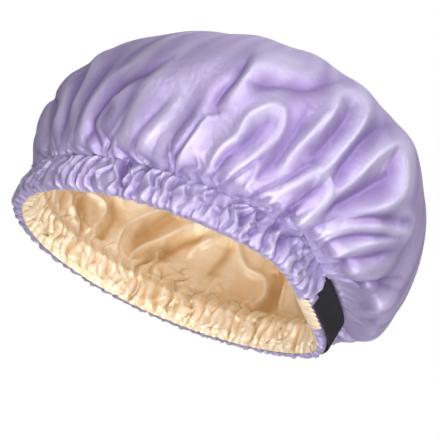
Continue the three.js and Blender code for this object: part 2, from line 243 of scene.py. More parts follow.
# Columns and rows of both cloths. S is the distance from the seam: below 0 in the casing and at the rim
THETA = np.arange(COLUMNS) * FULL_TURN / COLUMNS
theta_row = THETA[None, :]
signed_angle = wrapped(THETA)
outward = np.stack([np.cos(THETA), np.sin(THETA), np.zeros(COLUMNS)], axis=-1)
casing_z = np.linspace(RIM_ROUND, CASING_HEIGHT, CASING_ROWS, endpoint=False)
rim_s = RIM_ROUND * (1 - OUTER_RIM_ANGLES) - CASING_HEIGHT
row_s = np.concatenate([rim_s, casing_z - CASING_HEIGHT, crown_s])
S = row_s[:, None]


def waves(size, seed, count, orders, lengths):
    """A smooth seeded field over the cloth that closes round the bonnet."""
    rng = np.random.default_rng(seed)
    total = np.zeros((len(row_s), COLUMNS))
    for _ in range(count):
        order = rng.integers(orders[0], orders[1] + 1)
        length = rng.uniform(*lengths) * rng.choice([-1, 1])
        phase = rng.uniform(0, FULL_TURN)
        total += np.cos(order * theta_row + FULL_TURN * S / length + phase)
    return size * (total / math.sqrt(count))


def gather(seed, count, wander, long_share):
    """Creases drawn in by the elastic. Above the seam the short ones lean into longer ones and end.
    Gives the place between two creases, the strength of each, the width between them and the number of
    the first."""
    rng = np.random.default_rng(seed)
    pitch = FULL_TURN / count
    at = (np.arange(count) + rng.uniform(-0.42, 0.42, count)) * pitch
    sway = rng.uniform(0.1, 1, count) * wander * pitch
    sway_length = rng.uniform(11, 30, count)
    sway_start = rng.uniform(0, FULL_TURN, count)
    hook = rng.uniform(-0.3, 0.9, count) * pitch
    is_long = rng.random(count) < long_share
    life = np.where(is_long, rng.uniform(24, 62, count), rng.uniform(6, 19, count))
    tall = rng.uniform(0.5, 1.25, count)
    partner = (np.arange(count) + rng.choice([-1, 1], count)) % count
    leans = life < life[partner]
    part, first, second, gap, index = (np.empty((len(row_s), COLUMNS)) for _ in range(5))
    for row, here in enumerate(row_s):
        above = max(here, 0)
        place = at + sway * np.sin(FULL_TURN * here / sway_length + sway_start)
        place += hook * smooth(-8, 1, here) * math.exp(-above / 25)
        place += 0.9 * wrapped(place[partner] - place) * leans * smooth(0.1, 1, above / life)
        strength = tall * np.exp(-(above / (1.1 * life)) ** 2.5)
        order = np.argsort(place)
        ring = np.concatenate([place[order] - FULL_TURN, place[order], place[order] + FULL_TURN])
        left = np.searchsorted(ring, THETA, side="right") - 1
        gap[row] = np.maximum(ring[left + 1] - ring[left], 1e-5)
        part[row] = np.clip((THETA - ring[left]) / gap[row], 0, 1)
        first[row] = strength[order[left % count]]
        second[row] = strength[order[(left + 1) % count]]
        index[row] = order[left % count]
    return part, first, second, gap / pitch, index


def pleats(seed, count, wander, long_share, power, sharp):
    """Heights of gathered cloth: valleys at the creases and round ridges between them, 0 on the ridges.
    Narrow pleats stand less tall, and each leans to one side where sharp is 1."""
    part, first, second, gap, index = gather(seed, count, wander, long_share)
    skew = (0.14 + 0.2 * np.sin(2.7 * index)) * sharp

    def valley(x, reach):
        slack = 0.5 * (1 + np.cos(math.pi * x))
        tight = np.maximum(1 - x / reach, 0) ** power
        return mix(slack, tight, sharp)

    lower = first * valley(part, 0.58 + skew) + second * valley(1 - part, 0.58 - skew)
    return -lower * np.clip(gap, 0, 1.3) ** 0.7


def long_folds(folds):
    """Loose folds that run up from the gathers: angle, lean, length, width, depth, steepness of a side."""
    total = np.zeros((len(row_s), COLUMNS))
    above = np.maximum(S, 0)
    for angle, lean, length, width, depth, steep in folds:
        path = math.radians(angle) + math.radians(lean) * above / 100
        across = wrapped(theta_row - path) * 100
        width_here = width * (0.45 + above / length)
        side = np.where(across > 0, 1 + steep, 1 - steep)
        shape = np.exp(-np.abs(across / (width_here * side)) ** 1.6)
        along = smooth(-4, 12, S) * np.clip(1 - above / length, 0, 1) ** 0.8
        total -= depth * along * shape
    return total


def grid_normals(points):
    """Outward normals of a grid that closes round its columns."""
    around = np.roll(points, -1, axis=1) - np.roll(points, 1, axis=1)
    up = np.gradient(points, axis=0)
    normal = np.cross(around, up)
    return normal / np.maximum(np.linalg.norm(normal, axis=2, keepdims=True), 1e-9)


def new_piece(name, vertices, faces, material):
    """A mesh object with smooth shading, from vertices in millimetres."""
    mesh = bpy.data.meshes.new(name)
    mesh.from_pydata((np.reshape(vertices, (-1, 3)) * MM).tolist(), [], faces)
    mesh.polygons.foreach_set("use_smooth", np.ones(len(mesh.polygons), dtype=bool))
    mesh.materials.append(material)
    mesh.update()
    piece = bpy.data.objects.new(name, mesh)
    bpy.context.collection.objects.link(piece)
    return piece


def cloth_object(name, points, apex, painted_shading, flip, material):
    """A cloth from a grid of rows and its apex. The UV map is the place on the flat cut cloth, and an
    attribute of painted shade and highlight runs from 0, painted shade deep in a fold, to 1, painted
    highlight on its ridge."""
    rows = len(points)
    j, i = np.meshgrid(np.arange(rows - 1), np.arange(COLUMNS), indexing="ij")
    here, beside = j * COLUMNS + i, j * COLUMNS + (i + 1) % COLUMNS
    quads = np.stack([here, beside, beside + COLUMNS, here + COLUMNS], axis=-1).reshape(-1, 4)
    last = (rows - 1) * COLUMNS
    ring = np.arange(COLUMNS)
    fan = np.stack([last + ring, last + (ring + 1) % COLUMNS, np.full(COLUMNS, rows * COLUMNS)], axis=-1)
    if flip:
        quads = quads[:, ::-1]
        fan = fan[:, ::-1]
    vertices = np.concatenate([points.reshape(-1, 3), apex[None]])
    piece = new_piece(name, vertices, quads.tolist() + fan.tolist(), material)
    mesh = piece.data
    from_apex = np.maximum(CROWN_RUN - row_s, 0)[:, None, None]
    flat = np.append((from_apex * outward[None, :, :2]).reshape(-1, 2), [[0, 0]], axis=0)
    corners = np.empty(len(mesh.loops), dtype=np.int32)
    mesh.loops.foreach_get("vertex_index", corners)
    layer = mesh.uv_layers.new(name="flat_cut")
    layer.data.foreach_set("uv", (flat[corners] * MM * UV_PER_METRE).ravel())
    # Painted shade and highlight for the colour: 0 deep in a fold, 1 on its ridge
    painted_shade_and_highlight = mesh.attributes.new("painted_shade_and_highlight", "FLOAT", "POINT")
    painted_shade_and_highlight.data.foreach_set("value", np.append(0.5 + 0.5 * np.tanh(painted_shading.ravel()), 0.5))
    return piece


# Camera, from the fit of the rim, the outline and the strap to the photograph: angles, metres and pixels
AZIMUTH, ELEVATION, ROLL = math.radians(26.11), math.radians(-21.798), math.radians(25.763)
DISTANCE, ACROSS, ALONG = 0.9, 0.02288, 0.03061
FOCAL, PHOTO_SIZE = 1630, 440
SENSOR = 36
back = Vector((
    math.sin(AZIMUTH) * math.cos(ELEVATION),
    -math.cos(AZIMUTH) * math.cos(ELEVATION),
    math.sin(ELEVATION),
))
level_right = Vector((math.cos(AZIMUTH), math.sin(AZIMUTH), 0))
level_up = back.cross(level_right)
right = level_right * math.cos(ROLL) + level_up * math.sin(ROLL)
up = level_up * math.cos(ROLL) - level_right * math.sin(ROLL)
eye = Vector((CENTRE_X * MM, 0, 0)) + back * DISTANCE + right * ACROSS + up * ALONG
camera_data = bpy.data.cameras.new("camera")
camera_data.sensor_width = SENSOR
camera_data.lens = FOCAL / PHOTO_SIZE * SENSOR
camera = bpy.data.objects.new("camera", camera_data)
bpy.context.collection.objects.link(camera)
camera.matrix_world = Matrix.Translation(eye) @ Matrix((right, up, back)).transposed().to_4x4()
bpy.context.scene.camera = camera


# Nodes that the materials share. An input is a value or the output of another node
def feed(node, inputs):
    for name, source in inputs.items():
        if isinstance(source, bpy.types.NodeSocket):
            node.id_data.links.new(source, node.inputs[name])
        else:
            node.inputs[name].default_value = source


def add_node(tree, kind, inputs, **settings):
    node = tree.nodes.new(kind)
    for name, value in settings.items():
        setattr(node, name, value)
    feed(node, inputs)
    return node


def noise(tree, place, scale, detail):
    inputs = {"Vector": place, "Scale": scale, "Detail": detail}
    return add_node(tree, "ShaderNodeTexNoise", inputs).outputs["Fac"]


def bands(tree, place, direction, scale, distortion):
    inputs = {"Vector": place, "Scale": scale, "Distortion": distortion}
    return add_node(tree, "ShaderNodeTexWave", inputs, bands_direction=direction).outputs["Fac"]


def bump(tree, height, strength, distance, under=None):
    """A bump of a height in metres, on top of another bump if there is one under it."""
    inputs = {"Height": height, "Strength": strength, "Distance": distance}
    if under is not None:
        inputs["Normal"] = under
    return add_node(tree, "ShaderNodeBump", inputs).outputs["Normal"]


def map_range(tree, value, low, high, start=0, end=1):
    inputs = {"Value": value, "From Min": start, "From Max": end, "To Min": low, "To Max": high}
    return add_node(tree, "ShaderNodeMapRange", inputs).outputs["Result"]


def maths(tree, operation, first, second):
    return add_node(tree, "ShaderNodeMath", {0: first, 1: second}, operation=operation).outputs["Value"]


def mix_shader(tree, share, first, second):
    return add_node(tree, "ShaderNodeMixShader", {"Fac": share, 1: first, 2: second}).outputs["Shader"]


def ramp(tree, tone, colours):
    """Colours evenly spread over a tone from 0 to 1."""
    node = add_node(tree, "ShaderNodeValToRGB", {"Fac": tone})
    elements = node.color_ramp.elements
    for step in range(1, len(colours) - 1):
        elements.new(step / (len(colours) - 1))
    for element, colour in zip(elements, colours):
        element.color = (*colour, 1)
    return node.outputs["Color"]


def object_place(tree):
    return add_node(tree, "ShaderNodeTexCoord", {}).outputs["Object"]


def new_material(name):
    material = bpy.data.materials.new(name)
    material.use_nodes = True
    return material, material.node_tree, material.node_tree.nodes["Principled BSDF"]


def satin(name, ramp_colours, gleam, roughness, lustre):
    """Woven satin: long floats along the cut cloth, a faint crinkle, and painted shade and highlight: a
    colour that is painted deeper in the folds' valleys and paler on their ridges, with a dye that differs
    at random."""
    material, tree, shader = new_material(name)
    place = object_place(tree)
    # Painted shade in the folds' valleys and painted highlight on their ridges, read from the cloth
    painted_shade_and_highlight = add_node(tree, "ShaderNodeAttribute", {}, attribute_name="painted_shade_and_highlight").outputs["Fac"]
    uneven_dye = map_range(tree, noise(tree, place, 22, 4), -0.12, 0.12)
    crinkle = noise(tree, place, 330, 6)
    cut = add_node(tree, "ShaderNodeUVMap", {}, uv_map="flat_cut").outputs["UV"]
    weave = bump(tree, bands(tree, cut, "X", 90, 1.5), 0.06, 0.0001)
    floats = add_node(tree, "ShaderNodeTangent", {}, direction_type="UV_MAP", uv_map="flat_cut")
    feed(shader, {
        "Base Color": ramp(tree, maths(tree, "ADD", painted_shade_and_highlight, uneven_dye), ramp_colours),
        "Roughness": map_range(tree, crinkle, roughness - 0.05, roughness + 0.06),
        "Normal": bump(tree, crinkle, 0.65, 0.0006, under=weave),
        "Tangent": floats.outputs["Tangent"],
        "Anisotropic": 0.3,
        "Specular IOR Level": 0.4,
        "Specular Tint": (*gleam, 1),
        "Metallic": lustre,
        "Coat Weight": 0.05,
        "Coat Roughness": 0.35,
    })
    return material


def elastic(name, ramp_colours):
    """Flat woven elastic: ribs along its length and a matt, slightly fuzzy face."""
    material, tree, shader = new_material(name)
    place = object_place(tree)
    fuzz = noise(tree, place, 900, 3)
    ribs = bump(tree, bands(tree, place, "Z", 260, 0.6), 0.5, 0.0003)
    feed(shader, {
        "Base Color": ramp(tree, fuzz, ramp_colours),
        "Normal": bump(tree, fuzz, 0.3, 0.0002, under=ribs),
        "Roughness": 0.85,
        "Specular IOR Level": 0.25,
    })
    return material


def thread(name, ramp_colours):
    """Twisted sewing thread."""
    material, tree, shader = new_material(name)
    ply = bands(tree, object_place(tree), "DIAGONAL", 700, 0)
    feed(shader, {
        "Base Color": ramp(tree, ply, ramp_colours),
        "Normal": bump(tree, ply, 0.5, 0.0001),
        "Roughness": 0.55,
    })
    return material


# Materials, with their colours from the deepest to the palest. For the satins the deepest is painted shade
# in the folds, the middle their dye, and the palest painted highlight on the ridges
LAVENDERS = ((0.262, 0.187, 0.42), (0.44, 0.365, 0.59), (0.60, 0.545, 0.74))
CHAMPAGNES = ((0.64, 0.42, 0.21), (0.88, 0.69, 0.47), (0.97, 0.86, 0.70))
lavender = satin("lavender_satin", LAVENDERS, gleam=(0.8, 0.72, 1.0), roughness=0.45, lustre=0.4)
champagne = satin("champagne_satin", CHAMPAGNES, gleam=(1.0, 0.92, 0.8), roughness=0.43, lustre=0.24)
black_elastic = elastic("black_elastic", ((0.012, 0.012, 0.014), (0.03, 0.03, 0.034)))
white_elastic = elastic("white_elastic", ((0.66, 0.64, 0.6), (0.8, 0.78, 0.74)))
lavender_thread = thread("lavender_thread", ((0.3, 0.22, 0.48), (0.46, 0.37, 0.65)))
champagne_thread = thread("champagne_thread", ((0.76, 0.55, 0.33), (0.88, 0.69, 0.46)))
black_thread = thread("black_thread", ((0.008, 0.008, 0.01), (0.025, 0.025, 0.028)))

# The smooth outer cloth: the turned rim, the casing and the crown
rim_line = base_point(theta_row, np.full((1, 1), RIM))


def rim_rows(angles, inward):
    """The round at the rim, from the line just inside it where the cloths meet to the side of the
    casing."""
    rows = []
    for angle in angles:
        inset = RIM_ROUND * (1 - math.cos(angle))
        row = rim_line - outward[None] * (2 * RIM_ROUND - inset if inward else inset)
        row[..., 2] = RIM_ROUND * (1 - math.sin(angle))
        rows.append(row[0])
    return np.array(rows)


def soften_rows(field, times):
    """A field whose rows are drawn towards their neighbours a few times."""
    for _ in range(times):
        field[1:-1] = (field[:-2] + 2 * field[1:-1] + field[2:]) / 4
    return field


casing_points = base_point(theta_row, (casing_z / CASING_HEIGHT)[:, None])
crown_points = base_point(theta_row, crown_t[:, None])
outer_base = np.concatenate([rim_rows(OUTER_RIM_ANGLES, False), casing_points, crown_points])
normals = soften_rows(grid_normals(outer_base), 4)
normals /= np.linalg.norm(normals, axis=2, keepdims=True)
apex_point = base_point(np.zeros(1), np.full(1, APEX))[0]


def pressed_up(heights):
    """Heights of cloth whose frills give way where they meet the surface that the rim rests on."""
    return np.maximum(heights, mix(GIVES_BELOW, heights, GIVES_LESS))


def in_photo(points):
    """Where points fall in the photograph's frame, and how squarely the cloth there faces the camera."""
    to_eye = np.array(eye) / MM - points
    depth = to_eye @ np.array(back)
    x = PHOTO_SIZE / 2 - FOCAL * (to_eye @ np.array(right)) / depth
    y = PHOTO_SIZE / 2 + FOCAL * (to_eye @ np.array(up)) / depth
    return x, y, np.sum(normals * to_eye, axis=2) / np.linalg.norm(to_eye, axis=2)


# How far the photograph shows each point of the outer cloth
photo_x, photo_y, facing = in_photo(outer_base)
shown = smooth(-0.26, 0.02, facing)

# Stretches round the rim, in radians: under the strap, above it, and where the lining rolls out beside it
under_strap = window(signed_angle, (SLIT_NEAR - 0.03, SLIT_NEAR + 0.02), (SLIT_FAR - 0.02, SLIT_FAR + 0.03))
over_strap = window(signed_angle, (SLIT_NEAR - 0.15, SLIT_NEAR + 0.1), (SLIT_FAR - 0.1, SLIT_FAR + 0.15))
rolled = window(signed_angle, (SLIT_NEAR - 0.2, SLIT_NEAR - 0.1), (0.2, 0.3))

# Folds of the side that the photograph shows: half-width in its pixels, height in mm, points in its frame.
# Across its line, a valley and a ridge each have a power and a breadth
FOLD_SCALE = 1.25
VALLEY_SHAPE, RIDGE_SHAPE = (1.35, 1.0), (1.8, 1.15)
DRAWN_FOLDS = [
    (5.5, 2.1, [(82, 156), (84, 128), (90, 104), (100, 88), (113, 74), (128, 66), (147, 56), (166, 45)]),
    (6.5, -3.4, [(85, 162), (88, 142), (93, 124), (100, 106), (110, 91), (127, 80), (145, 74), (158, 67),
                 (172, 57)]),
    (4, 1.4, [(95, 126), (103, 109), (113, 98), (128, 90), (140, 80)]),
    (12, -1.6, [(108, 136), (118, 118), (128, 104), (138, 88)]),
    (3, -2.0, [(110, 146), (113, 138), (120, 128), (126, 118)]),
    (9, 1.5, [(117, 160), (124, 140), (134, 116), (144, 96), (156, 78), (172, 64)]),
    (7, -2.3, [(127, 162), (132, 148), (138, 136), (147, 124), (158, 111), (170, 98)]),
    (7, 1.7, [(143, 158), (148, 142), (158, 126), (170, 110), (182, 94)]),
    (4, -1.4, [(152, 160), (155, 146), (160, 132)]),
    (8, -2.1, [(164, 158), (175, 134), (187, 118), (198, 102)]),
    (3.5, -3.4, [(168, 173), (173, 161), (178, 152), (186, 141), (193, 131), (202, 118)]),
    (5, 2.4, [(176, 170), (182, 156), (192, 140), (200, 128), (208, 118)]),
    (5, -1.6, [(204, 114), (212, 112), (222, 111)]),
    (6, -4.0, [(212, 108), (224, 91), (235, 80), (243, 68), (250, 57)]),
    (9, 2.4, [(232, 94), (246, 78), (258, 66), (280, 62), (300, 66)]),
    (8, -3.0, [(246, 84), (275, 84), (303, 87), (322, 84), (342, 80)]),
    (9, 1.4, [(256, 70), (280, 70), (304, 75), (322, 70)]),
    (6, 3.0, [(202, 184), (210, 167), (222, 148), (238, 137), (245, 123), (257, 113), (272, 108),
              (282, 112), (283, 123), (277, 137), (263, 150), (248, 162), (233, 173), (220, 183)]),
    (10, -4.4, [(212, 176), (226, 156), (243, 146), (256, 132), (268, 122)]),
    (3.5, -3.2, [(217, 194), (226, 183), (236, 175), (252, 164), (264, 156)]),
    (11, -4.0, [(250, 182), (262, 172), (276, 160), (290, 140), (304, 118), (312, 104)]),
    (5, 2.0, [(243, 190), (252, 180), (258, 170), (257, 160)]),
    (3.5, -3.6, [(235, 213), (247, 200), (257, 192), (273, 185), (293, 175), (305, 166)]),
    (6.5, 3.4, [(285, 166), (293, 153), (307, 138), (323, 123), (333, 110), (337, 98), (345, 94),
                (356, 96), (364, 106), (364, 119), (355, 135), (343, 150), (332, 163), (317, 173),
                (300, 182), (280, 192), (271, 202), (266, 220)]),
    (11, -4.6, [(306, 166), (322, 150), (336, 134), (348, 118), (352, 108)]),
    (4.5, 2.6, [(317, 178), (329, 179), (330, 190), (323, 202), (307, 215), (290, 227), (275, 232)]),
    (7.5, -5.6, [(284, 215), (298, 204), (312, 193), (322, 186)]),
    (3, -2.6, [(263, 223), (272, 217), (287, 213), (297, 207)]),
    (6.5, 3.4, [(284, 236), (300, 227), (317, 213), (333, 198), (350, 183), (367, 167), (380, 153),
                (394, 145), (402, 152), (404, 166), (403, 186), (398, 198), (383, 207), (358, 215),
                (338, 225), (322, 233), (307, 243)]),
    (11, -4.6, [(328, 212), (348, 200), (368, 190), (384, 180), (392, 170)]),
    (10, -4.4, [(336, 178), (350, 160), (364, 142), (378, 130), (392, 124)]),
    (3, -2.6, [(282, 238), (300, 233), (317, 227), (338, 217)]),
    (2.4, -2.2, [(240, 214), (250, 205), (262, 199), (276, 194)]),
    (2.4, -2.2, [(252, 218), (264, 208), (278, 202)]),
    (2.4, -2.2, [(268, 230), (282, 221), (298, 214), (312, 207)]),
    (2.4, -2.0, [(300, 246), (316, 240), (334, 233)]),
    (2.4, -2.0, [(204, 196), (213, 185), (224, 176)]),
    (2.4, -2.0, [(190, 186), (197, 176), (205, 168)]),
    (6, 3.0, [(317, 240), (338, 232), (360, 228), (383, 229), (400, 232), (409, 231), (412, 221),
              (406, 214)]),
    (7, -3.6, [(338, 222), (362, 217), (386, 218), (402, 222)]),
    (7, -4.0, [(320, 246), (340, 238), (362, 235), (384, 236), (398, 238)]),
    (6, 3.0, [(312, 265), (327, 257), (342, 250), (358, 245), (383, 241), (405, 239)]),
    (7, -4.2, [(325, 264), (350, 259), (376, 255), (394, 250)]),
    (8, 0.9, [(327, 275), (350, 270), (373, 265), (395, 262)]),
    (4.5, -3.6, [(323, 283), (350, 283), (375, 283), (402, 279)]),
    (6, -2.4, [(380, 287), (398, 290)]),
    (5, 1.6, [(332, 282), (345, 292), (352, 300)]),
    (6, -2.4, [(340, 306), (352, 307), (362, 306)]),
    (6, 1.8, [(345, 316), (362, 314), (380, 309), (396, 298)]),
    (5, -1.6, [(348, 322), (364, 322), (380, 320)]),
    (4.5, 1.6, [(57, 128), (61, 112), (66, 98), (70, 86), (74, 76)]),
    (5, -3.2, [(50, 150), (54, 124), (57, 107), (53, 97), (46, 88)]),
    (5, 3.2, [(70, 116), (74, 100), (82, 84), (94, 66), (104, 54)]),
    (6, -4.4, [(62, 156), (64, 128), (72, 98), (87, 70), (97, 54), (104, 46)]),
    (6, -2.4, [(76, 150), (78, 126), (86, 98), (98, 78), (118, 56)]),
    (3.5, 1.8, [(47, 160), (48, 145), (53, 132)]),
    (3.5, 1.8, [(58, 160), (60, 146), (63, 136)]),
    (4, 2.2, [(67, 158), (70, 144), (77, 132)]),
]

# Folds of the lining that the opening shows, heights towards the inside
INNER_SCALE = 1.3
INNER_FOLDS = [
    (2.8, 2.2, [(68, 190), (68, 205), (73, 222), (75, 232)]),
    (3.2, 2.6, [(90, 192), (101, 204), (99, 219), (86, 232), (82, 246)]),
    (3.6, 2.6, [(162, 208), (137, 217), (120, 231), (113, 250)]),
    (3.6, 2.4, [(188, 225), (162, 238), (137, 250), (128, 262)]),
    (3.2, 2.2, [(217, 237), (197, 247), (187, 259)]),
    (2.8, 2.6, [(239, 240), (241, 256), (248, 270), (262, 277), (267, 286), (264, 298), (254, 308)]),
    (3.2, 2.2, [(287, 284), (282, 306), (278, 322)]),
    (2.8, 2.0, [(298, 296), (298, 318)]),
    (3.2, 2.2, [(217, 280), (207, 293), (200, 304)]),
    (8, -2.2, [(80, 200), (84, 215), (78, 236)]),
    (10, -1.8, [(112, 196), (113, 218), (102, 238), (98, 250)]),
    (10, -2.4, [(180, 212), (160, 224), (140, 236)]),
    (9, -2.4, [(204, 236), (178, 246), (160, 258)]),
    (9, -1.5, [(232, 240), (226, 256), (214, 270), (204, 282)]),
    (9, -2.6, [(275, 268), (278, 282), (272, 300)]),
]

# The crown's main folds as in the CAD source: degrees round from the back, and share of the depth out or in
FOLD_DEPTH, FOLD_RISE, FOLD_END, FOLD_FADE = 4.5, 0.25, 2.8, 0.6
CROWN_FOLDS = [
    (0, -0.3), (9, 0.4), (18, -0.6), (36, 0.8), (45, -0.7), (54, 0.4), (63, -0.3), (81, 0.5),
    (90, -0.2), (99, 0.6), (108, -0.9), (126, 0.8), (144, -0.6), (153, 0.5), (162, -0.8), (171, 0.5),
    (180, 0), (198, 0.5), (207, 0), (216, 0.5), (252, -0.5), (261, 0.2), (270, 0.4), (279, 0),
    (288, 0.3), (306, -0.5), (315, 0.3), (333, -0.2), (342, 0.6), (360, -0.3),
]

def smooth_line(points, steps=5):
    """A curve through a few points."""
    line = np.array(points, dtype=float)
    ends = np.concatenate([2 * line[:1] - line[1:2], line, 2 * line[-1:] - line[-2:-1]])
    share = (np.arange(steps) / steps)[:, None]
    made = []
    for before, a, b, after in zip(ends[:-3], ends[1:-2], ends[2:-1], ends[3:]):
        cubic = 3 * (a - b) + after - before
        square = 2 * before - 5 * a + 4 * b - after
        made.append(a + 0.5 * share * (b - before + share * (square + share * cubic)))
    return np.concatenate(made + [line[-1:]])


def nearest_on(line, x, y):
    """How far points lie from a line, and how far along it as a share of its length."""
    runs = np.linalg.norm(np.diff(line, axis=0), axis=1)
    done = np.concatenate([[0], np.cumsum(runs)])
    best = np.full(x.shape, np.inf)
    where = np.zeros(x.shape)
    for start, end, run, before in zip(line[:-1], line[1:], runs, done):
        way = (end - start) / run
        along = np.clip((x - start[0]) * way[0] + (y - start[1]) * way[1], 0, run)
        away = np.hypot(x - start[0] - along * way[0], y - start[1] - along * way[1])
        nearer = away < best
        best = np.where(nearer, away, best)
        where = np.where(nearer, before + along, where)
    return best, where / done[-1]


def drawn_folds(folds, photo_x, photo_y, shown):
    """Heights of drawn folds on the cloth and their painted shading: painted highlight along their crests
    and painted shade in their valleys. They taper at both ends and towards the casing."""
    total, tone = np.zeros((2, *photo_x.shape))
    narrowing = np.broadcast_to(0.5 + 0.5 * smooth(2, 48, S), photo_x.shape)
    for width, height, points in folds:
        line = smooth_line(points)
        low, high = line.min(axis=0) - 3 * width, line.max(axis=0) + 3 * width
        in_width = (photo_x > low[0]) & (photo_x < high[0])
        near = in_width & (photo_y > low[1]) & (photo_y < high[1]) & (shown > 0)
        away, share = nearest_on(line, photo_x[near], photo_y[near])
        width_here = width * narrowing[near]
        taper = 0.4 + 0.6 * window(share, (0, 0.2), (0.75, 1.0))
        power, breadth = VALLEY_SHAPE if height < 0 else RIDGE_SHAPE
        shape = np.exp(-(away / (breadth * width_here)) ** power)
        height_here = FOLD_SCALE * height * taper * np.sqrt(narrowing[near])
        total[near] += height_here * shape
        # Painted highlight along a ridge's crest, painted shade along a valley
        tone[near] += height_here * (0.5 * shape + np.exp(-away / (0.35 * width_here)))
    return np.array([total * shown, tone * shown])


def crown_folds(theta, t):
    """The main folds of the CAD source, for where the photograph shows nothing."""
    angles, shares = np.array(CROWN_FOLDS).T
    degrees = np.degrees(theta) % 360
    k = np.searchsorted(angles, degrees, side="right") - 1
    between = smooth(0, 1, (degrees - angles[k]) / (angles[k + 1] - angles[k]))
    rise = smooth(0, FOLD_RISE, t - SEAM)
    fade = smooth(0, FOLD_FADE, FOLD_END - t)
    return FOLD_DEPTH * rise * fade * mix(shares[k], shares[k + 1], between)


def slack_folds(count):
    """Folds of the lining at even angles, which lean to both sides in turn, for long_folds."""
    step = 360 / count
    sides = [(-1) ** k for k in range(count)]
    return [(k * step, 8 * side, 90 + 25 * (k % 3), 8, 1.5, 0.4 * side) for k, side in enumerate(sides)]


def loose_folds(count, seed):
    """Folds of the outer cloth at seeded angles, for long_folds."""
    rng = np.random.default_rng(seed)
    step = 360 / count
    folds = []
    for k in range(count):
        angle = k * step + rng.uniform(-0.4, 0.4) * step
        lean, length, width = rng.uniform(-26, 26), rng.uniform(70, 150), rng.uniform(3.5, 8)
        depth, steep = rng.uniform(1.0, 2.6), rng.uniform(-0.5, 0.5)
        folds.append((angle, lean, length, width, depth, steep))
    return folds


# Folds of the outer cloth's crown: the drawn ones, lower above the casing at the photograph's left, the
# main and loose ones of the unseen side, and a soft swell
crown_heights = np.concatenate([np.full(SEAM_ROW, RIM), crown_t])[:, None]
sway = waves(*FOLD_SWAY) * smooth(0, 60, S)
drawn, drawn_painted_shading = drawn_folds(DRAWN_FOLDS, photo_x, photo_y, shown) * smooth(2, 14, S)
drawn *= 1 - LEFT_LOSS * (1 - smooth(8, 44, S)) * (1 - smooth(*LEFT_SIDE, photo_x))
unseen = crown_folds(theta_row + sway, crown_heights) + long_folds(loose_folds(*LOOSE_FOLDS))
unseen *= 1 - shown
swell = waves(*BROAD_SWELL) * window(S, (0, 40), (90, 180))
swell += waves(*NARROW_SWELL) * window(S, (0, 20), (40, 110))
outer_folds = DRAWN_SHARE * drawn + unseen + swell

# Pleats of the outer cloth, pressed flat by the strap and by the lining rolled out over the rim
sharp = 1 - smooth(2, 30, S)
in_casing = 1 - smooth(-3, 3, S)
ease = 1 - FOLD_EASE * shown * smooth(6, 26, S)
pleat = pleats(*OUTER_PLEATS, sharp) * ease
wrinkle = -pleats(*OUTER_WRINKLES, sharp) * in_casing
depth = np.interp(row_s, DEPTH_AT, OUTER_DEPTHS)[:, None]
level = RIDGE_LEVEL * (1 - RIDGE_FADE * smooth(4, 45, S))
rim_hold = np.maximum(under_strap * smooth(-21.5, -18, S), rolled * (1 - smooth(-20, -17, S)))
press = np.where(S < 1, 1 - RIM_PRESS * rim_hold, 1 - STRAP_PRESS * over_strap)
outer_gathers = (depth * (pleat + level) + WRINKLE_HEIGHT * wrinkle) * press

# The casing's puff, which the strap flattens, with the frill of the rim and the crumple beside the slit
puff = np.interp(row_s, PUFF_AT, PUFFS)[:, None]
puff_casing = puff * (1 - under_strap) - CASING_DENT * under_strap
puff_crown = puff - CROWN_DENT * under_strap * (1 - smooth(4, 30, S))
frill = waves(*RIM_FRILL) * (1 - smooth(-21, -17, S)) * (1 - FRILL_PRESS * rolled)
by_slit = np.exp(-((signed_angle - SLIT_NEAR + CRUMPLE_BEFORE) / CRUMPLE_WIDTH) ** 2)
by_slit = by_slit * (1 - smooth(2, 14, S))
outer_lift = np.where(S < 1, puff_casing, puff_crown) + outer_folds + outer_gathers
outer_lift += FRILL_HEIGHT * frill + by_slit * waves(*SLIT_CRUMPLE)

# Painted shade and highlight of the outer cloth: from folds, pleats and the rim's frill, slow painted
# changes of sheen, and painted highlight on paler edges at the seam and the rim
seam_painted_highlight = np.exp(-(S / SEAM_HIGHLIGHT_WIDTH) ** 2)
rim_painted_highlight = 1 - smooth(-25, -20, S)
painted_sheen_zone = window(S, (4, 30), (120, 170))
painted_pleat_shading = depth * (pleat + PLEAT_MIDDLE * (1 - smooth(4, 45, S)))
painted_pleat_shading += WRINKLE_TONE * (wrinkle - WRINKLE_MIDDLE * in_casing)
outer_painted_shading = (drawn_painted_shading + unseen + painted_pleat_shading * press * (1 + CASING_CONTRAST * in_casing)) / OUTER_CONTRAST
outer_painted_shading += waves(*OUTER_PAINTED_SHEEN) * painted_sheen_zone
outer_painted_shading += SEAM_TONE * seam_painted_highlight + RIM_TONE * rim_painted_highlight + FRILL_TONE * frill

outer_points = outer_base + normals * outer_lift[..., None]
outer_points[..., 2] = pressed_up(outer_points[..., 2])
outer = cloth_object("outer_cloth", outer_points, apex_point, outer_painted_shading, False, lavender)

# The smooth lining, inside the outer cloth
crown = slice(SEAM_ROW, None)
casing_inset = np.interp(casing_z, CASING_INSET_AT, CASING_INSETS)[:, None, None]
crown_inset = np.interp(crown_s, CROWN_INSET_AT, CROWN_INSETS)[:, None]
lining_casing = casing_points - normals[RIM_ROWS:SEAM_ROW] * casing_inset
lining_crown = crown_points - normals[crown] * crown_inset[..., None]
lining_base = np.concatenate([rim_rows(LINING_RIM_ANGLES, True), lining_casing, lining_crown])

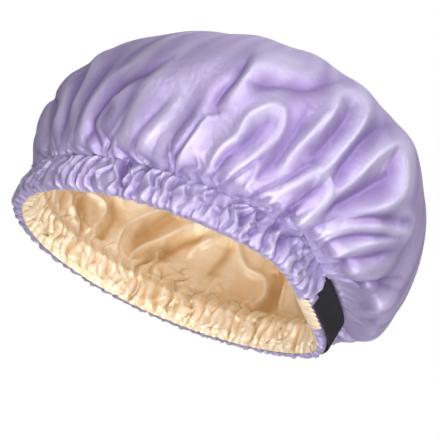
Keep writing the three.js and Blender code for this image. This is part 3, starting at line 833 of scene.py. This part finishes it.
# Folds of the lining's crown, towards the inside: the drawn ones, the slack ones and a soft swell
inner_x, inner_y, inner_facing = in_photo(lining_base)
inner_shown = 1 - smooth(-0.1, 0.1, inner_facing)
inner_drawn, inner_painted_shading = drawn_folds(INNER_FOLDS, inner_x, inner_y, inner_shown) * smooth(1, 10, S)
in_crown = window(S, (4, 30), (110, 180))
inner_slack = waves(*LINING_SWELL) * in_crown - long_folds(slack_folds(SLACK_FOLDS))
inner_folds = INNER_SCALE * inner_drawn + inner_slack + LINING_SAG * in_crown

# Pleats of the lining and the crumple of its casing
inner_sharp = 1 - smooth(2, 28, S)
inner_pleat = pleats(*LINING_PLEATS, inner_sharp)
inner_wrinkle = -pleats(*LINING_WRINKLES, inner_sharp) * in_casing
inner_depth = np.interp(row_s, DEPTH_AT, LINING_DEPTHS)[:, None]
crumple = waves(*LINING_CRUMPLE) * (1 - smooth(-4, 8, S))
inner_lift = -inner_folds - inner_depth * (inner_pleat + level)
inner_lift -= LINING_WRINKLE_HEIGHT * inner_wrinkle + LINING_CRUMPLE_HEIGHT * crumple

# Painted shade and highlight of the lining: from folds and pleats, slow painted changes of sheen, and a
# painted highlight on a paler edge at the seam
lining_painted_pleat_shading = inner_depth * (inner_pleat + LINING_PLEAT_MIDDLE) + LINING_CRUMPLE_TONE * crumple
lining_painted_pleat_shading += LINING_WRINKLE_TONE * (inner_wrinkle - WRINKLE_MIDDLE * in_casing)
lining_painted_shading = LINING_FOLD_TONE * INNER_SCALE * inner_painted_shading + LINING_SLACK_TONE * inner_slack + lining_painted_pleat_shading
lining_painted_shading = lining_painted_shading / LINING_CONTRAST + waves(*LINING_PAINTED_SHEEN) * painted_sheen_zone
lining_painted_shading += LINING_SEAM_TONE * seam_painted_highlight

# The lining gives way where a valley of the outer cloth comes near it
room = outer_lift[crown] + crown_inset - CLOTH_GAP
room = np.min([np.roll(room, k, axis=1) for k in NEIGHBOURS], axis=0)
room = np.mean([np.roll(room, k, axis=1) for k in NEIGHBOURS], axis=0)
over_room = np.sqrt((inner_lift[crown] - room) ** 2 + GAP_SOFTNESS)
inner_lift[crown] = (inner_lift[crown] + room - over_room) / 2
lining_points = lining_base + normals * inner_lift[..., None]
lining_points[0] = outer_points[0]

# The stretch of the lining that rolls out over the rim
for row, angle in enumerate(LINING_RIM_ANGLES):
    over = angle + rolled * ROLL_ANGLE * (RIM_ROWS - 1 - row) / (RIM_ROWS - 1)
    reach = RIM_ROUND * (1 + np.cos(over)) - ROLL_TIGHT * smooth(1.4, 2.0, over)
    reach -= RUFFLE_DEPTH * rolled * np.sin(RUFFLES * signed_angle)
    turned = rim_line[0] - outward * reach[:, None]
    turned[:, 2] = RIM_ROUND * (1 - np.sin(over)) - ROLL_DROP * rolled
    lining_points[row] = mix(lining_points[row], turned, rolled[:, None])
lining_points[..., 2] = pressed_up(lining_points[..., 2])
lining_apex = apex_point - np.array([0, 0, APEX_INSET])
lining = cloth_object("lining_cloth", lining_points, lining_apex, lining_painted_shading, True, champagne)

# The free stretch of elastic at the back of the rim
strap_angles = np.linspace(SLIT_NEAR - TAIL, SLIT_FAR + TAIL, STRAP_COLUMNS)
strap_low, strap_high = TAPE_LIFT - SPREAD_BELOW, TAPE_LIFT + TAPE_WIDTH + SPREAD_ABOVE
strap_heights = np.linspace(strap_low, strap_high, STRAP_ROWS)
strap_tilt = STRAP_LEAN * (strap_heights - TAPE_LIFT - TAPE_WIDTH / 2) / (TAPE_WIDTH / 2)
tucked_near = smooth(SLIT_NEAR, SLIT_NEAR - TUCK, strap_angles)
tucked_far = smooth(SLIT_FAR, SLIT_FAR + TUCK, strap_angles)
tucked = np.maximum(tucked_near, tucked_far)


def strap_face(thickness):
    """A face of the elastic, in rows up it and columns along it."""
    ring = base_point(strap_angles[None, :], (strap_heights / CASING_HEIGHT)[:, None])
    away = np.stack([np.cos(strap_angles), np.sin(strap_angles), np.zeros(STRAP_COLUMNS)], axis=-1)
    lift = mix(STRAP_OUT, STRAP_TUCKED, tucked) + thickness
    lift = lift[None, :] + strap_tilt[:, None] * (1 - tucked)[None, :]
    return ring + away[None] * lift[..., None]


def back_strap():
    """The elastic as a closed loop of rows, up its front and down its back, with its two ends filled."""
    loop = np.concatenate([strap_face(TAPE_THICKNESS), strap_face(0)[::-1]])
    starts = [row * STRAP_COLUMNS for row in range(len(loop))]
    faces = []
    for this_row, next_row in zip(starts, starts[1:] + starts[:1]):
        for i in range(STRAP_COLUMNS - 1):
            faces.append((this_row + i, this_row + i + 1, next_row + i + 1, next_row + i))
    faces.append(tuple(starts))
    faces.append(tuple(start + STRAP_COLUMNS - 1 for start in reversed(starts)))
    return new_piece("back_strap", loop, faces, black_elastic)


def stitches(name, points, side, material):
    """Stitches of the seam that closes the casing, on one side of a cloth."""
    out = grid_normals(points)[SEAM_ROW] * side
    line = points[SEAM_ROW]
    upwards = np.array([0, 0, 1.0])
    vertices, faces = [], []
    for first in range(0, COLUMNS, len(STITCH_DIPS)):
        for here, dip in enumerate(STITCH_DIPS, first):
            centre = line[here] + out[here] * dip
            ring = len(vertices)
            for corner in range(STITCH_SIDES):
                angle = FULL_TURN * corner / STITCH_SIDES
                across = math.cos(angle) * out[here] + math.sin(angle) * upwards
                vertices.append(centre + STITCH_RADIUS * across)
                if here > first:
                    a, b = ring + corner, ring + (corner + 1) % STITCH_SIDES
                    faces.append((a - STITCH_SIDES, a, b, b - STITCH_SIDES))
    return new_piece(name, vertices, faces, material)


strap = back_strap()
needle = stitches("needle_stitches", outer_points, 1, lavender_thread)
bobbin = stitches("bobbin_stitches", lining_points, -1, champagne_thread)

# Pieces with the nodes that they replace and their slots, and the hidden nodes that stay
PIECES = (
    (outer, "outer_satin", "outer_satin"),
    (lining, "lining_satin", "lining_satin"),
    (strap, "back_elastic", "black_elastic"),
    (needle, "casing_needle_thread", "outer_thread"),
    (bobbin, "casing_bobbin_thread", "lining_thread"),
)
HIDDEN_NODES = (
    ("casing_elastic", white_elastic),
    ("rim_seam_thread", lavender_thread),
    ("bar_tack_near", black_thread),
    ("bar_tack_far", black_thread),
)
for piece, node, slot in PIECES:
    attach(piece, "root")
    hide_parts(node)
for node, material in HIDDEN_NODES:
    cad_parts[node].data.materials.clear()
    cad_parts[node].data.materials.append(material)


def paper():
    """White paper, seen from above only, that fades out round the object. Most of what the camera sees of
    it is its own white."""
    material, tree, shader = new_material("floor_paper")
    grain = add_node(tree, "ShaderNodeTexNoise", {"Scale": 40}).outputs["Fac"]
    feed(shader, {"Base Color": map_range(tree, grain, 0.84, 0.88), "Roughness": 0.9})
    camera_ray = add_node(tree, "ShaderNodeLightPath", {}).outputs["Is Camera Ray"]
    glow = add_node(tree, "ShaderNodeEmission", {"Strength": camera_ray}).outputs["Emission"]
    white = mix_shader(tree, 0.6, shader.outputs["BSDF"], glow)
    geometry = add_node(tree, "ShaderNodeNewGeometry", {})
    far = add_node(tree, "ShaderNodeVectorMath", {0: geometry.outputs["Position"]}, operation="LENGTH")
    fade = map_range(tree, far.outputs["Value"], 0, 1, start=0.35, end=1.0)
    gone = maths(tree, "MAXIMUM", geometry.outputs["Backfacing"], fade)
    clear = add_node(tree, "ShaderNodeBsdfTransparent", {}).outputs["BSDF"]
    feed(tree.nodes["Material Output"], {"Surface": mix_shader(tree, gone, white, clear)})
    return material


# Floor, which the photograph's low view looks up past
FLOOR_HALF = 3000
FLOOR_CORNERS = [(-1, -1, 0), (1, -1, 0), (1, 1, 0), (-1, 1, 0)]
floor = new_piece("floor", np.array(FLOOR_CORNERS) * FLOOR_HALF, [(0, 1, 2, 3)], paper())
floor.visible_diffuse = False
floor.visible_glossy = False
floor.visible_transmission = False
floor.visible_shadow = False


def studio():
    """White all round for the camera. As light it is dim, and brighter behind the object, where the
    backdrop is."""
    world = bpy.data.worlds.new("studio")
    world.use_nodes = True
    tree = world.node_tree
    path = add_node(tree, "ShaderNodeLightPath", {}).outputs
    seen = maths(tree, "MAXIMUM", path["Is Camera Ray"], path["Is Transmission Ray"])
    way = add_node(tree, "ShaderNodeTexCoord", {}).outputs["Generated"]
    behind = add_node(tree, "ShaderNodeVectorMath", {0: way, 1: -back}, operation="DOT_PRODUCT")
    backdrop = map_range(tree, behind.outputs["Value"], 0, 1, start=0.5, end=0.95)
    backdrop_share = map_range(tree, path["Is Glossy Ray"], 0.2, 0.35)
    from_backdrop = maths(tree, "MULTIPLY", backdrop_share, backdrop)
    white = maths(tree, "MAXIMUM", seen, from_backdrop)
    feed(tree.nodes["Background"], {"Color": (1, 1, 1, 1), "Strength": map_range(tree, white, 0.15, 1.0)})
    return world


def area_lamp(name, place, side, power, receivers):
    """A square lamp turned to the object, whose light falls on the receivers alone, or on all."""
    data = bpy.data.lights.new(name, "AREA")
    data.size = side
    data.energy = power
    lamp = bpy.data.objects.new(name, data)
    bpy.context.collection.objects.link(lamp)
    lamp.location = place
    lamp.rotation_euler = (MIDDLE - place).to_track_quat("-Z", "Y").to_euler()
    lamp.light_linking.receiver_collection = receivers
    return lamp


bpy.context.scene.world = studio()

# Lamps of the photographer's side light the object alone, as the camera is below the floor's plane
floor_only = bpy.data.collections.new("floor_only")
floor_only.objects.link(floor)
object_only = bpy.data.collections.new("object_only")
for piece in (*(entry[0] for entry in PIECES), *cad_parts.values()):
    object_only.objects.link(piece)

# Lamps: metres to the photograph's right, up and towards the camera from the object's middle, side, watts
MIDDLE = Vector((0, 0, 0.06))
CAMERA_LAMPS = (
    ("front", 0, 0, 1, 0.8, 6.4),
    ("low_left", -0.45, -0.45, 0.77, 0.45, 4.2),
    ("low_right", 0.45, -0.45, 0.77, 0.45, 2.2),
    ("under", 0, -0.97, 0.26, 0.45, 3.6),
    ("side", 0.88, 0.4, 0.26, 0.6, 3.6),
    ("top", 0.15, 0.84, 0.51, 0.6, 4.4),
)
for name, to_right, to_up, to_back, side, power in CAMERA_LAMPS:
    place = MIDDLE + right * to_right + up * to_up + back * to_back
    area_lamp(name, place, side, power, object_only)
area_lamp("overhead", Vector((-0.1, 0.35, 1.2)), 1.2, 2.6, object_only)
area_lamp("rear", MIDDLE - back * 1.1, 0.9, 8.0, None).visible_glossy = False
area_lamp("floor_light", Vector((0.2, 0.2, 1.3)), 0.9, 7.0, floor_only)

bpy.context.scene.view_settings.view_transform = "Standard"
